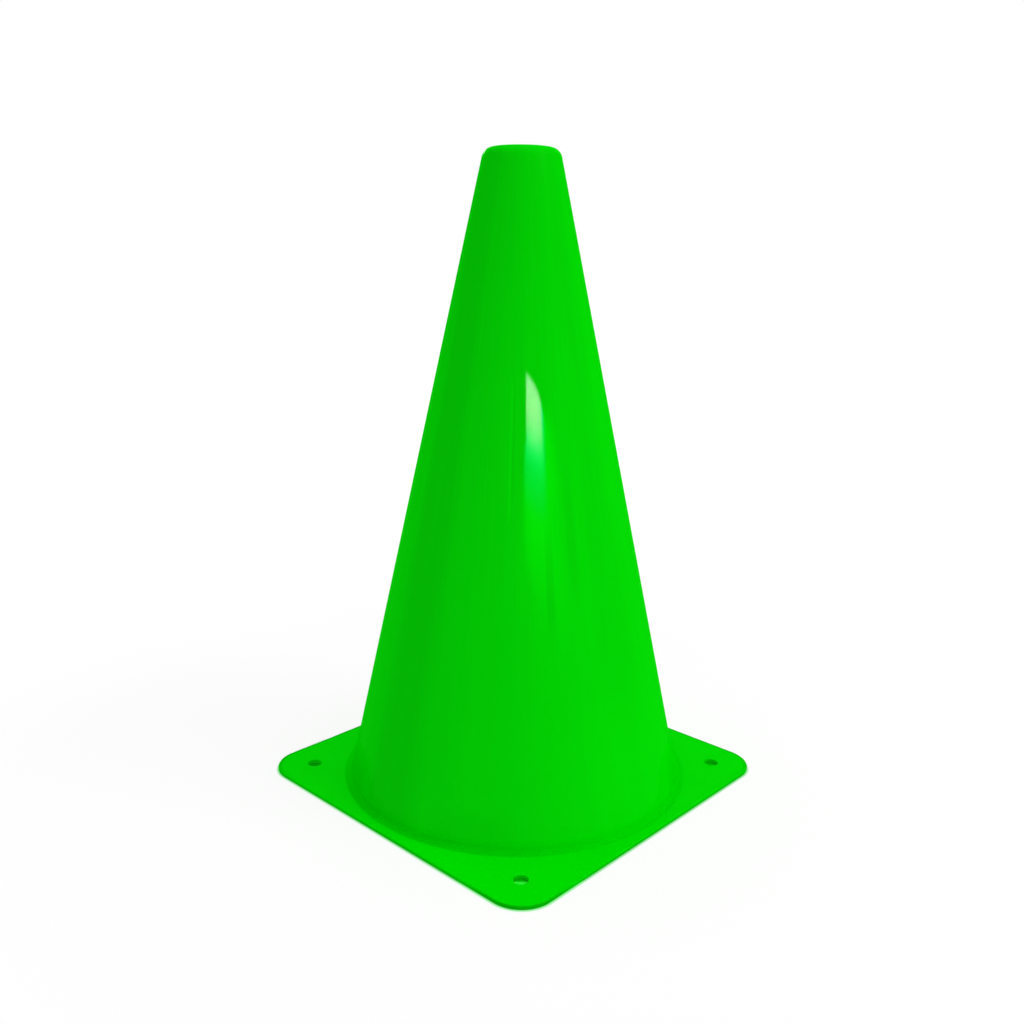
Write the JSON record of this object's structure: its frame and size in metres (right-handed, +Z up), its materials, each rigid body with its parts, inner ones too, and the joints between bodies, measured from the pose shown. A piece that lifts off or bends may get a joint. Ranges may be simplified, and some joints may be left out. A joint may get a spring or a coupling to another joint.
{
  "type": "sports marker cone",
  "caption": "Hollow tapering training cone in thin glossy plastic, open at the rim, on a thin square base plate with rounded corners and corner peg holes; it marks a pitch and nests in a stack.",
  "frame": {"origin": "on the floor, under the middle of the cone, at the centre of the base plate's underside", "axes": "+Z up along the cone's axis; X and Y square to the sides of the base plate"},
  "size_m": [0.137, 0.137, 0.23],
  "materials": {
    "green_polyethylene": "glossy injection-moulded polyethylene, saturated green through the whole wall"
  },
  "bodies": {
    "root": {"cone_body": "green_polyethylene", "base_plate": "green_polyethylene"}
  },
  "joints": []
}
